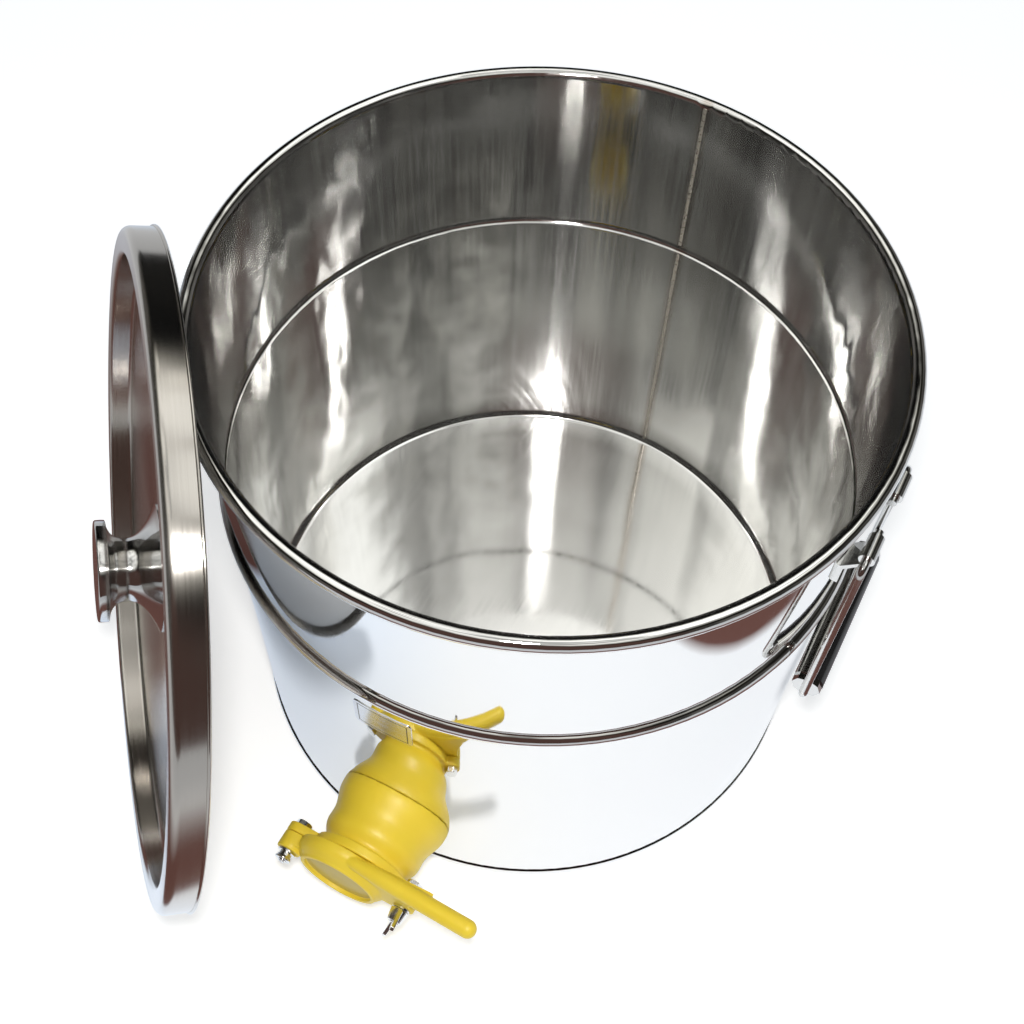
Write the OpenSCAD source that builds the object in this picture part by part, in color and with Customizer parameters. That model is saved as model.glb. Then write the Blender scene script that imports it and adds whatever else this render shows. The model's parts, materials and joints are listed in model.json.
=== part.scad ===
// Honey settling tank: a straight steel drum with a plastic flap gate low on its wall,
// two hanging handles and a dished lid that stands on the floor and leans on the rim.
// Origin in the middle of the base, on the floor. +Z is up and the gate looks along -Y.

/* [Drum] */
// Outside radius of the drum's wall
tank_r = 190; // [186:1:194]
// Height of the middle of the rolled rim
roll_z = 348; // [340:1:356]
// Thickness of the drum's sheet
sheet = 0.8; // [0.6:0.1:1]
// Outside radius of the rolled rim's section
roll_r = 4.3; // [4:0.1:4.6]
// Height of the middle of the stiffening bead
bead_z = 229; // [226:1:232]
// How far the bead stands out of the wall
bead_out = 3.5; // [3:0.1:4]
// Radius of the bead's round section
bead_r = 5.3; // [5:0.1:5.6]
// Height of the floor's underside above the ground
floor_z = 6.5; // [6:0.5:8]
// Thickness of the floor sheet and of the folded seam round it
chime_t = 1.2; // [1:0.1:1.4]
// Height of the folded seam on the outside of the wall
chime_h = 9; // [8:0.5:11]
// Width of the cove between floor and wall
cove = 4; // [3:0.5:5]
// Direction of the upright weld seam
seam_turn = 88; // [70:1:110]
// Width of the weld seam
seam_w = 3; // [2:0.5:4]
// How far the weld seam stands off the wall's inside
seam_t = 0.3; // [0.2:0.05:0.5]

/* [Blank plate] */
// Width of the blank plate over the gate
plate_w = 37; // [30:1:44]
// Height of the blank plate
plate_h = 27; // [22:1:30]
// Height of the plate's lower edge
plate_z = 185; // [178:1:190]
// Thickness of the plate
plate_t = 0.4; // [0.3:0.1:0.8]

/* [Handles] */
// Direction of the right handle
right_turn = 0; // [-3:1:3]
// Direction of the left handle, set back so that it swings clear of the standing lid
left_turn = 167; // [164:1:168]
// Height of the handles' hinge line
hinge_z = 302; // [298:1:306]
// Drop from the hinge line to the grip's middle
drop = 110; // [106:1:114]
// Radius of the bent wire
wire_r = 2.5; // [2.3:0.1:2.7]
// Running clearance of the wire in its eyes and the flap on its bolt
run_gap = 0.05; // [0.03:0.01:0.08]
// Distance from the handle's middle to each lug's middle
lug_off = 22; // [20:1:24]
// Width of a lug
lug_w = 16; // [14:1:17]
// Thickness of a lug's strip
lug_t = 1.9; // [1.7:0.1:2.1]
// Height of a lug's lower edge below the hinge line
lug_drop = 30; // [27:1:33]
// Height of the part of a lug that lies on the wall
lug_land = 14; // [12:1:16]
// Length of the wire's tail inside each lug
tail = 4; // [3:0.5:6]
// Straight wire between a lug or a cap and the wire's bend
arm_gap = 0.6; // [0.4:0.1:1]
// Radius of the wire's bends, at the wire's middle
bend_r = 6; // [5:0.5:7]
// Radius of the round grip
grip_r = 9; // [8.4:0.1:9.1]
// Room between the grip and the wall where they come closest
grip_gap = 0.6; // [0.5:0.1:1.5]
// Length of the grip without its caps
grip_l = 96; // [90:1:100]
// Distance from the grip's middle line out to the joint of its two halves
grip_split = 2; // [1:0.5:3]
// Length of each faceted grip cap
cap_l = 4.5; // [4:0.5:6]
// Corner radius of the faceted grip caps
cap_r = 8.6; // [8:0.1:9]

/* [Gate] */
// Height of the gate's middle line
gate_z = 62.5; // [60:0.5:66]
// Radius of the gate's foot on the wall
gate_r = 37.8; // [36.5:0.1:39]
// Length of the gate's barrel from the wall to the ear plate
barrel_l = 38; // [36:0.5:40]
// Radius of the gate's bore
bore_r = 23; // [21.5:0.5:24]
// Radius of the spigot that passes through the wall
spigot_r = 27; // [26.5:0.5:28]
// Length of the spigot behind the wall
spigot_l = 22; // [20:1:24]
// Thickness of the ear plate
ear_t = 6; // [5:0.5:7]
// Radius of the round part of the ear plate
ear_plate_r = 32.5; // [31:0.5:33]
// Radius of each ear's end
ear_r = 8; // [7:0.5:8.5]
// Sideways place of the hinge bolt
pivot_x = -45; // [-47:0.5:-44]
// Sideways place of the clamp bolt
clamp_x = 36; // [36:0.5:38]
// Room between the wall's hole and the spigot
hole_gap = 0.3; // [0.2:0.1:0.5]
// Depth of the sealing ring behind the wall, measured from the wall's front
seal_depth = 8; // [7:0.5:9]
// Width of the sealing ring round the spigot
seal_w = 7.5; // [6:0.5:8]
// Width of the lock nut from the spigot to its corners
nut_w = 11; // [9:0.5:13]
// Thickness of the lock nut
nut_l = 9; // [8:0.5:10]

/* [Flap] */
// Room between the ear plate and the flap
flap_gap = 0.3; // [0.2:0.05:0.4]
// Thickness of the flap's plate
flap_t = 8; // [7.5:0.5:8.5]
// Depth of the flap from its back to the front of its ring
flap_depth = 12.5; // [12:0.5:13.5]
// Radius of the flap's round foot
flap_r = 32.5; // [31.5:0.5:33]
// Sideways place of the flap's ring
ring_x = -8; // [-9:0.5:-7]
// Outside radius of the ring
ring_r = 26.5; // [25.5:0.5:27.5]
// Width of the ring's front edge
ring_w = 2.5; // [2:0.5:3]
// Depth of the recess inside the ring
recess = 3; // [2:0.5:4]
// Sideways reach of the flap's lever
lever_x = 89; // [85:1:90]
// Height of the lever's tip above the gate's middle line
lever_z = 42.5; // [41:0.5:43]
// Distance from the flap's back out to the middle of the lever's tip
lever_out = 10; // [9.5:0.5:10.5]
// Radius of the round lever
lever_r = 5.6; // [5.2:0.1:5.8]
// Room between the clamp bolt and the flap's slot
slot_gap = 0.5; // [0.4:0.1:0.8]
// Sideways place where the web to the clamp ear leaves the lever
web_x = 56; // [54:1:60]
// Height of the boss round the hinge bolt
boss_h = 11; // [10.5:0.5:12]
// Radius of the flap's sealing disc behind its ring
disc_r = 31; // [30.5:0.5:32]
// Thickness of the sealing disc
disc_t = 4; // [3.5:0.5:5]
// Outside radius of the flap's seal
flap_seal_r = 28.5; // [27.5:0.5:29.5]
// Depth of the groove that holds the flap's seal
flap_seal_t = 1.6; // [1.2:0.1:2]

/* [Bolts] */
// Radius of the hinge and clamp bolts
bolt_r = 3; // [2.8:0.1:3.2]
// Corner radius of bolt heads and nuts
hex_r = 5.5; // [5.2:0.1:5.6]
// Height of the bolt heads
head_h = 3.5; // [3:0.25:3.5]
// Height of the hinge nut
nut_h = 5; // [4.5:0.5:5.5]
// Thickness of the washers
washer_t = 1.2; // [1:0.1:1.6]
// Outside radius of the washers
washer_r = 6; // [5.8:0.1:6.2]
// Reach of each wing of the wing nut from its axis
wing_x = 15; // [13:0.5:16]
// Height of the wing nut over its wings
wing_h = 16; // [14:0.5:18]
// Thickness of a wing
wing_t = 2.6; // [2:0.2:3.2]
// Radius of the wing nut's hub at its foot
hub_r = 6; // [5.6:0.1:6.4]
// Height of the wing nut's hub
hub_h = 8; // [7:0.5:9]
// Turn of the wings from level
wing_turn = 74; // [60:1:85]

/* [Lid] */
// Room between the rim and the lid's skirt when the lid is on
lid_gap = 0.4; // [0.2:0.1:2]
// Height of the skirt
skirt_h = 19; // [18.5:0.5:22]
// Thickness of the lid's sheet
lid_t = 0.8; // [0.6:0.1:1]
// Radius of the lid's rounded edge
lid_edge = 5; // [4:0.5:6]
// Depth of the dish in the lid's top
dish = 15; // [12:0.5:15.5]
// Room between the drum's wall and the dish when the lid is on
dish_gap = 6.2; // [4:0.2:9]
// Radius of the hem round the open edge
hem_r = 1; // [0.8:0.1:1.4]
// Radius of the knob's foot
knob_r = 38.5; // [36:0.5:41]
// Height of the knob
knob_h = 36; // [33:0.5:39]
// Lean of the standing lid from upright, in degrees
lean = 13.8; // [13:0.1:14.5]
// Direction in which the standing lid's face looks
lid_turn = 221.2; // [220:0.2:222]
// Sideways place of the standing lid
lid_side = 14; // [11:1:18]
// Room between the standing lid and the rim
lean_gap = 0.4; // [0.3:0.1:0.6]

/* [Hidden] */
$fn = 96;

quarter = 90;
half_turn = 180;
hex_sides = 6;
cap_sides = 8;
// Sides of the round cutters that fit pieces to the drum's curve
fine = 360;
// Share of the bend's radius that a lower corner takes up along the grip
bend_room = 1.25;
front = -1;
back = 1;
steel = "silver";
bright_steel = "gainsboro";
yellow = "gold";
dark = "#1c1c1c";

// Middle of the rolled rim, of the bead's section and of the handles' hinge line, out from the axis
roll_c = tank_r - sheet + roll_r;
bead_c = tank_r + bead_out - bead_r;
hinge_c = tank_r + grip_r + grip_gap;
floor_top = floor_z + chime_t;
inner_r = tank_r - sheet;
grip_z = hinge_z - drop;
eye_r = wire_r + lug_t;
lug_wall = sqrt(tank_r * tank_r - lug_off * lug_off);
arm_top = lug_off + lug_w / 2 + arm_gap + bend_r;
arm_low = grip_l / 2 + cap_l + arm_gap + bend_r * bend_room;
tail_end = lug_off - lug_w / 2 - tail;
arm_turn = atan2(-drop, arm_low - arm_top);
top_room = bend_r * tan(-arm_turn / 2);
low_room = bend_r * tan((half_turn + arm_turn) / 2);
// The wire swells a little in its bends, and its straight runs lap into them
bend_swell = 1.03;
lap = bend_r / 15;

// Stations along the gate's axis, out from the wall
ear_front = barrel_l + ear_t;
flap_back = ear_front + flap_gap;
plate_front = flap_back + flap_t;
hinge_face = flap_back + boss_h + flap_gap;
clamp_face = plate_front + flap_gap;
wing_back = clamp_face + washer_t + flap_gap;
slot_r = bolt_r + slot_gap;
// The sealing ring and the lock nut fit round the spigot
seal_r = spigot_r + seal_w;
nut_r = spigot_r + nut_w;
// How far round the hinge bolt the clamp's slot runs
slot_sweep = 40;
swing_r = clamp_x - pivot_x;
slot_end = asin(slot_r / swing_r);
// Height at which the web leaves the ring, as a share of the ring's foot
web_share = 0.85;
// The lever runs from the ring's top to its tip
lever_root = [ring_x, flap_r - lever_r, disc_t];
lever_run = [lever_x, lever_z, lever_out] - lever_root;
lever_l = norm(lever_run);
// Height of the lever's middle line where the web leaves it
web_z = lever_root.y + lever_run.y * (web_x - lever_root.x) / lever_run.x;
// Angle between the points of the lever's round tip, and the angle at which its small flat end begins
tip_step = 10;
tip_end = 80;

// Outline of the gate's barrel: shares of its length, then of its foot's radius
barrel_shares = [
    [0, 1], [0.08, 0.996], [0.16, 0.98], [0.24, 0.952], [0.32, 0.922], [0.4, 0.894], [0.47, 0.879],
    [0.54, 0.875], [0.61, 0.878], [0.68, 0.88], [0.75, 0.868], [0.81, 0.842], [0.87, 0.803],
    [0.92, 0.772], [1, 0.765]
];
// Outline of the knob: shares of its foot's radius, then of its height
knob_shares = [
    [1, 0], [1, 0.03], [0.87, 0.085], [0.72, 0.17], [0.59, 0.28], [0.515, 0.39], [0.49, 0.5],
    [0.5, 0.62], [0.55, 0.73], [0.66, 0.8], [0.765, 0.825], [0.78, 0.85], [0.78, 0.97], [0.76, 1]
];
// The knob's neck is its narrowest share
neck_share = min([for (p = knob_shares) p.x]);
// Outline of the flap's rounded front: shares of its depth, then of the step from foot to ring
flap_shares = [[0, 0], [0.3, 0], [0.45, 0.1], [0.6, 0.3], [0.75, 0.6], [0.88, 0.88], [1, 1]];
// Swell of the lever from its root: shares of its length, then of its radius
lever_shares = [[0, 0.5], [0.12, 0.72], [0.28, 0.9], [0.45, 0.98], [0.6, 1]];
// Hollow edge of the web, from the clamp ear up to the lever: shares of its width, then of its height
web_shares = [[0, 0], [0.06, 0.3], [0.2, 0.55], [0.45, 0.78], [1, 1]];
// Place inside the clamp ear where that edge starts, as a share of the ear's radius
web_foot_share = 0.6;
// Share of its foot's radius that the wing nut's hub keeps at its top
hub_share = 0.8;
// Outline of a wing: shares of its reach, then of its height
wing_shares = [[0.2, 0.05], [0.4, 0.06], [0.78, 0.5], [1, 0.86], [0.92, 1], [0.7, 0.94], [0.2, 0.46]];

// The lid fits over the rim. Standing, its hem is on the floor and its panel just clear of the rim.
// Where the drum is taller than the lid, the lid's upper edge stands just clear of the wall instead
lid_r = roll_c + roll_r + lid_gap + lid_t;
dish_r = inner_r - dish_gap;
panel_z = skirt_h - dish - lid_t;
hem_c = lid_r - lid_t + hem_r;
lid_z = hem_c * cos(lean) + hem_r * (1 - sin(lean));
rim_reach = roll_c * cos(lean) + roll_z * sin(lean) + roll_r + lean_gap;
rim_out = (rim_reach - panel_z - lid_z * sin(lean)) / cos(lean);
wall_out = tank_r + lean_gap + hem_c * sin(lean) + hem_r * (1 - cos(lean));
lid_out = lid_z + hem_c * cos(lean) > roll_z ? rim_out : wall_out;
lid_at = [
    lid_out * cos(lid_turn) - lid_side * sin(lid_turn),
    lid_out * sin(lid_turn) + lid_side * cos(lid_turn),
    lid_z
];
// The knob's wall, the radius of the boss inside it and the screw's length in that boss
knob_wall = 3;
boss_r = 6;
screw_l = 14;

// Frames: +Z out along the gate's axis, +X out of the wall at a handle, +Z out of the lid's face
module at_gate() { translate([0, -tank_r, gate_z]) rotate([quarter, 0, 0]) children(); }
module at_handle(turn) { rotate([0, 0, turn]) children(); }
module at_lid() { translate(lid_at) rotate([0, quarter - lean, lid_turn]) children(); }

// A round bar between two points
module bar(a, b, r) {
    step = b - a;
    translate(a) rotate([0, acos(step.z / norm(step)), atan2(step.y, step.x)])
        cylinder(r = r, h = norm(step));
}
// A ring that lies on z = 0
module ring(outer, inner, h) {
    difference() {
        cylinder(r = outer, h = h);
        translate([0, 0, -h]) cylinder(r = inner, h = 3 * h);
    }
}
// A strip bent round the drum's axis, between two radii
module bent_strip(inner, thick, turn, width, low, high) {
    angle = width / inner * half_turn / PI;
    rotate([0, 0, turn - angle / 2]) rotate_extrude(angle = angle)
        translate([inner, low]) square([thick, high - low]);
}

// Drum
module tank_section() {
    difference() {
        union() {
            translate([inner_r, chime_t]) square([sheet, roll_z - chime_t]);
            translate([bead_c, bead_z]) circle(r = bead_r);
            translate([roll_c, roll_z]) circle(r = roll_r);
        }
        translate([bead_c, bead_z]) circle(r = bead_r - sheet);
        translate([roll_c, roll_z]) circle(r = roll_r - sheet);
        translate([0, bead_z - bead_r]) square([inner_r, 2 * bead_r]);
    }
}
module tank_wall() {
    color(steel) difference() {
        rotate_extrude() tank_section();
        at_gate() cylinder(r = spigot_r + hole_gap, h = 2 * spigot_l, center = true, $fn = fine);
    }
}
module rim_wire() {
    color(bright_steel) rotate_extrude() translate([roll_c, roll_z]) circle(r = roll_r - sheet);
}
module tank_floor() {
    color(steel) rotate_extrude() {
        translate([0, floor_z]) square([inner_r, chime_t]);
        polygon([[inner_r - cove, floor_top], [inner_r, floor_top], [inner_r, floor_top + cove]]);
        translate([inner_r - chime_t, 0]) square([chime_t, floor_top]);
        translate([inner_r - chime_t, 0]) square([2 * chime_t + sheet, chime_t]);
        translate([tank_r, 0]) square([chime_t, chime_h]);
    }
}
module weld_seam() {
    color(bright_steel) {
        bent_strip(inner_r - seam_t, seam_t, seam_turn, seam_w, floor_top + cove, bead_z - bead_r);
        bent_strip(inner_r - seam_t, seam_t, seam_turn, seam_w, bead_z + bead_r, roll_z);
    }
}
module blank_plate() {
    color(bright_steel) bent_strip(tank_r, plate_t, -quarter, plate_w, plate_z, plate_z + plate_h);
}

// Handles
module lug_section() {
    low = hinge_z - lug_drop;
    difference() {
        union() {
            translate([hinge_c, hinge_z]) circle(r = eye_r);
            polygon([
                [inner_r - lug_w, low], [lug_wall + lug_t, low], [lug_wall + lug_t, low + lug_land],
                [hinge_c + eye_r, hinge_z], [hinge_c + wire_r, hinge_z],
                [lug_wall, low + lug_land + lug_t], [inner_r - lug_w, low + lug_land + lug_t]
            ]);
        }
        translate([hinge_c, hinge_z]) circle(r = wire_r + run_gap);
    }
}
module lug(turn, side) {
    color(steel) at_handle(turn) difference() {
        translate([0, side * lug_off + lug_w / 2, 0]) rotate([quarter, 0, 0])
            linear_extrude(lug_w) lug_section();
        cylinder(r = tank_r, h = roll_z, $fn = fine);
    }
}
// A bend in the wire at a corner, from one heading to a lower one
module elbow(corner, heading, next) {
    turn = heading - next;
    along = [cos(heading), sin(heading)];
    middle = corner - bend_r * tan(turn / 2) * along + bend_r * [along.y, -along.x];
    translate([middle.x, middle.y, 0]) rotate([0, 0, next + quarter]) rotate_extrude(angle = turn)
        translate([bend_r, 0]) circle(r = wire_r * bend_swell);
}
module half_bail() {
    top = [arm_top, hinge_z];
    low = [arm_low, grip_z];
    along = [cos(arm_turn), sin(arm_turn)];
    top_end = top + (top_room - lap) * along;
    low_end = low - (low_room - lap) * along;
    bar([tail_end, hinge_z, 0], [arm_top - top_room + lap, hinge_z, 0], wire_r);
    bar([top_end.x, top_end.y, 0], [low_end.x, low_end.y, 0], wire_r);
    elbow(top, 0, arm_turn);
    elbow(low, arm_turn, -half_turn);
}
module bail(turn) {
    reach = [arm_low - low_room + lap, 0, 0];
    color(bright_steel) at_handle(turn) translate([hinge_c, 0, 0]) rotate([quarter, 0, quarter]) {
        half_bail();
        mirror([1, 0, 0]) half_bail();
        translate([0, grip_z, 0]) bar(-reach, reach, wire_r);
    }
}
module at_grip(turn) {
    at_handle(turn) translate([hinge_c, 0, grip_z]) rotate([quarter, 0, 0]) children();
}
module grip_round() {
    difference() {
        cylinder(r = grip_r, h = grip_l, center = true);
        cylinder(r = wire_r, h = 2 * grip_l, center = true);
    }
}
module grip_inner(turn) {
    color(steel) at_grip(turn) difference() {
        grip_round();
        translate([grip_split, -grip_r, -grip_l]) cube([grip_r, 2 * grip_r, 2 * grip_l]);
    }
}
module grip_outer(turn) {
    color(dark) at_grip(turn) intersection() {
        grip_round();
        translate([grip_split, -grip_r, -grip_l]) cube([grip_r, 2 * grip_r, 2 * grip_l]);
    }
}
module grip_cap(turn, side) {
    color(bright_steel) at_grip(turn) translate([0, 0, -side * (grip_l + cap_l) / 2]) difference() {
        cylinder(r = cap_r, h = cap_l, center = true, $fn = cap_sides);
        cylinder(r = wire_r, h = 2 * cap_l, center = true);
    }
}

// Gate
module barrel() {
    outline = [for (p = barrel_shares) [gate_r * p.y, barrel_l * p.x]];
    rotate_extrude() polygon(concat([[0, -seal_depth], [gate_r, -seal_depth]], outline, [[0, barrel_l]]));
}
// The ear at the hinge bolt and the one at the clamp bolt, joined by a bar
module ear_outline() {
    for (x = [pivot_x, clamp_x]) translate([x, 0]) circle(r = ear_r);
    translate([pivot_x, -ear_r]) square([clamp_x - pivot_x, 2 * ear_r]);
}
module gate_body() {
    color(yellow) difference() {
        union() {
            difference() {
                at_gate() barrel();
                cylinder(r = tank_r, h = roll_z, $fn = fine);
            }
            at_gate() translate([0, 0, -spigot_l]) cylinder(r = spigot_r, h = 2 * spigot_l);
            at_gate() translate([0, 0, barrel_l]) linear_extrude(ear_t) {
                circle(r = ear_plate_r);
                ear_outline();
            }
        }
        at_gate() cylinder(r = bore_r, h = 4 * ear_front, center = true);
        for (x = [pivot_x, clamp_x])
            at_gate() translate([x, 0, barrel_l - head_h]) cylinder(r = bolt_r, h = ear_t + 2 * head_h);
    }
}
module gate_seal() {
    color(dark) intersection() {
        at_gate() translate([0, 0, -seal_depth]) ring(seal_r, spigot_r, seal_depth);
        cylinder(r = inner_r, h = roll_z, $fn = fine);
    }
}
module gate_lock_nut() {
    color(yellow) at_gate() translate([0, 0, -seal_depth - nut_l]) difference() {
        cylinder(r = nut_r, h = nut_l, $fn = hex_sides);
        cylinder(r = spigot_r, h = 4 * nut_l, center = true);
    }
}
module hex_bolt(x, tip) {
    color(bright_steel) at_gate() translate([x, 0, barrel_l]) {
        translate([0, 0, -head_h]) cylinder(r = hex_r, h = head_h, $fn = hex_sides);
        cylinder(r = bolt_r, h = tip - barrel_l);
    }
}
module washer(x, face) {
    color(bright_steel) at_gate() translate([x, 0, face]) ring(washer_r, bolt_r, washer_t);
}
module hinge_nut() {
    color(bright_steel) at_gate() translate([pivot_x, 0, hinge_face + washer_t]) difference() {
        cylinder(r = hex_r, h = nut_h, $fn = hex_sides);
        cylinder(r = bolt_r, h = 4 * nut_h, center = true);
    }
}
module wing_nut() {
    color(bright_steel) at_gate() translate([clamp_x, 0, wing_back]) difference() {
        union() {
            cylinder(r1 = hub_r, r2 = hub_r * hub_share, h = hub_h);
            for (side = [0, half_turn]) rotate([quarter, 0, wing_turn + side])
                linear_extrude(wing_t, center = true)
                    polygon([for (p = wing_shares) [wing_x * p.x, wing_h * p.y]]);
        }
        cylinder(r = bolt_r + run_gap, h = 4 * hub_h, center = true);
    }
}

// Flap
module flap_front_round() {
    edge = [for (p = flap_shares) [flap_r - (flap_r - ring_r) * p.y, flap_depth * p.x]];
    rotate_extrude() polygon(concat([[0, 0]], edge, [[0, flap_depth]]));
}
// A round bar that swells from its root, with a domed tip
module lever() {
    swell = [for (p = lever_shares) [lever_r * p.y, lever_l * p.x]];
    dome = [for (a = [0 : tip_step : tip_end]) lever_r * [cos(a), sin(a) - 1] + [0, lever_l]];
    translate(lever_root) rotate([0, acos(lever_run.z / lever_l), atan2(lever_run.y, lever_run.x)])
        rotate_extrude() polygon(concat([[0, 0]], swell, dome, [[0, dome[len(dome) - 1].y]]));
}
// The plate between the ring, the clamp ear and the lever
module flap_outline() {
    foot_x = clamp_x + ear_r * web_foot_share;
    edge = [for (p = web_shares) [foot_x + (web_x - foot_x) * p.x, web_z * p.y]];
    ear_outline();
    polygon(concat([[ring_x, 0]], edge, [[ring_x, flap_r * web_share]]));
}
// The slot that swings over the clamp bolt, open at its lower end
module clamp_slot() {
    translate([pivot_x, 0, 0]) rotate([0, 0, -slot_sweep]) rotate_extrude(angle = slot_sweep + slot_end)
        translate([swing_r - slot_r, -flap_depth]) square([2 * slot_r, 4 * flap_depth]);
}
module flap() {
    color(yellow) at_gate() translate([0, 0, flap_back]) difference() {
        union() {
            linear_extrude(flap_t) flap_outline();
            cylinder(r = disc_r, h = disc_t);
            translate([pivot_x, 0, 0]) cylinder(r = ear_r, h = boss_h);
            translate([ring_x, 0, 0]) flap_front_round();
            lever();
        }
        translate([ring_x, 0, flap_depth - recess]) cylinder(r = ring_r - ring_w, h = flap_depth);
        translate([pivot_x, 0, -flap_t]) cylinder(r = bolt_r + run_gap, h = 4 * flap_t);
        clamp_slot();
        translate([0, 0, -flap_t]) ring(flap_seal_r, bore_r, flap_t + flap_seal_t);
    }
}
module flap_seal() {
    color(dark) at_gate() translate([0, 0, flap_back - flap_gap / 2])
        ring(flap_seal_r, bore_r, flap_seal_t + flap_gap / 2);
}

// Lid, drawn with its open edge on z = 0
module lid_section() {
    corner = [lid_r - lid_edge, skirt_h - lid_edge];
    translate([lid_r - lid_t, 0]) square([lid_t, corner.y]);
    translate([dish_r, skirt_h - lid_t]) square([corner.x - dish_r, lid_t]);
    translate([dish_r, panel_z]) square([lid_t, dish + lid_t]);
    translate([0, panel_z]) square([dish_r, lid_t]);
    translate([hem_c, hem_r]) circle(r = hem_r);
    translate(corner) intersection() {
        difference() {
            circle(r = lid_edge);
            circle(r = lid_edge - lid_t);
        }
        square(lid_edge);
    }
}
module lid_pan() {
    color(steel) at_lid() difference() {
        rotate_extrude() lid_section();
        cylinder(r = bolt_r, h = skirt_h);
    }
}
module lid_knob() {
    outline = [for (p = knob_shares) [knob_r * p.x, knob_h * p.y]];
    color(steel) at_lid() translate([0, 0, panel_z + lid_t]) difference() {
        rotate_extrude() polygon(concat([[0, 0]], outline, [[0, knob_h]]));
        translate([0, 0, -knob_wall])
            ring(knob_r * neck_share - knob_wall, boss_r, knob_h);
        translate([0, 0, -knob_wall]) cylinder(r = bolt_r, h = knob_wall + screw_l);
    }
}
module knob_washer() {
    color(bright_steel) at_lid() translate([0, 0, panel_z - washer_t])
        ring(washer_r, bolt_r, washer_t);
}
module knob_screw() {
    color(bright_steel) at_lid() translate([0, 0, panel_z - washer_t]) {
        translate([0, 0, -head_h]) cylinder(r = hex_r, h = head_h, $fn = hex_sides);
        cylinder(r = bolt_r, h = washer_t + screw_l);
    }
}

tank_wall();
rim_wire();
tank_floor();
weld_seam();
blank_plate();
lug(right_turn, front);  // right_lug_front
lug(right_turn, back);  // right_lug_back
bail(right_turn);  // right_bail
grip_inner(right_turn);  // right_grip_inner
grip_outer(right_turn);  // right_grip_outer
grip_cap(right_turn, front);  // right_cap_front
grip_cap(right_turn, back);  // right_cap_back
lug(left_turn, back);  // left_lug_front
lug(left_turn, front);  // left_lug_back
bail(left_turn);  // left_bail
grip_inner(left_turn);  // left_grip_inner
grip_outer(left_turn);  // left_grip_outer
grip_cap(left_turn, back);  // left_cap_front
grip_cap(left_turn, front);  // left_cap_back
gate_body();
gate_seal();
gate_lock_nut();
hex_bolt(pivot_x, hinge_face + nut_h + 2 * washer_t);  // hinge_bolt
washer(pivot_x, hinge_face);  // hinge_washer
hinge_nut();
hex_bolt(clamp_x, wing_back + hub_h + washer_t);  // clamp_bolt
washer(clamp_x, clamp_face);  // clamp_washer
wing_nut();
flap();
flap_seal();
lid_pan();
lid_knob();
knob_washer();
knob_screw();
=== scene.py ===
import json
import math

import bmesh
import bpy
from mathutils import Matrix, Vector


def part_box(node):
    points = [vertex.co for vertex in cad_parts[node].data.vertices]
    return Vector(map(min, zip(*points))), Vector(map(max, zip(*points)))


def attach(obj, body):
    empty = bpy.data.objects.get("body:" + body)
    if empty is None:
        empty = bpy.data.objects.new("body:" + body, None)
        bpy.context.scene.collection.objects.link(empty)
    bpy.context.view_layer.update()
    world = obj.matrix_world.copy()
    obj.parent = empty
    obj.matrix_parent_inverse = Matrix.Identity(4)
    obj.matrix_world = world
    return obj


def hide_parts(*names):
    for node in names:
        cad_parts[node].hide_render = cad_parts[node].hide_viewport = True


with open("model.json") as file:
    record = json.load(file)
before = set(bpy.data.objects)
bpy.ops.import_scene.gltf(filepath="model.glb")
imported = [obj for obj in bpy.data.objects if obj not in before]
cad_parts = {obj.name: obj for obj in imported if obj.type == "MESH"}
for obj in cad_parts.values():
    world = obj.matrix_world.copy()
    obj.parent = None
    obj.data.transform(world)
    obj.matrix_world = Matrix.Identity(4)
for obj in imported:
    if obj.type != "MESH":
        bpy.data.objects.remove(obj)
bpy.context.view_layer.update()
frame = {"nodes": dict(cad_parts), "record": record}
nodes = frame["nodes"]
scene = bpy.context.scene


# Places and sizes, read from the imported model
def reach(node, direction):
    """Lowest and highest place of a node along a direction."""
    places = [direction.dot(v.co) for v in nodes[node].data.vertices]
    return min(places), max(places)


def half_width(node, direction):
    """Half of a node's width along a direction."""
    low, high = reach(node, direction)
    return (high - low) / 2


def body_of(node):
    """The body that a node moves with."""
    bodies = frame["record"]["behaviour"]["bodies"]
    return next(body for body, names in bodies.items() if node in names)


# The standing lid: the way its face looks, and its lean
LID_TURN = math.radians(221.2)
LID_LEAN = math.radians(13.8)
lid_side = Vector((-math.sin(LID_TURN), math.cos(LID_TURN), 0.0))
lid_axis = Vector((math.cos(LID_TURN), math.sin(LID_TURN), math.tan(LID_LEAN))).normalized()
lid_up = lid_axis.cross(lid_side)
knob_low, knob_high = reach("lid_knob", lid_axis)
knob_r = half_width("lid_knob", lid_side)
lid_foot = knob_low * lid_axis
for way in (lid_side, lid_up):
    lid_foot += sum(reach("lid_knob", way)) / 2 * way
lid_matrix = Matrix((lid_side, lid_up, lid_axis)).transposed()
lid_r = half_width("lid_pan", lid_side)

# The upright weld: its direction, the ends of its two runs, and its distance from the drum's axis
SEAM_TURN = math.radians(88.0)
seam_levels = sorted({round(v.co.z, 5) for v in nodes["weld_seam"].data.vertices})
seam_r = max(v.co.xy.length for v in nodes["weld_seam"].data.vertices)


# Shader node helpers
def new_material(name):
    material = bpy.data.materials.new(name)
    material.use_nodes = True
    tree = material.node_tree
    tree.nodes.clear()
    surface = tree.nodes.new("ShaderNodeBsdfPrincipled")
    output = tree.nodes.new("ShaderNodeOutputMaterial")
    tree.links.new(surface.outputs["BSDF"], output.inputs["Surface"])
    return material, tree, surface


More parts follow.
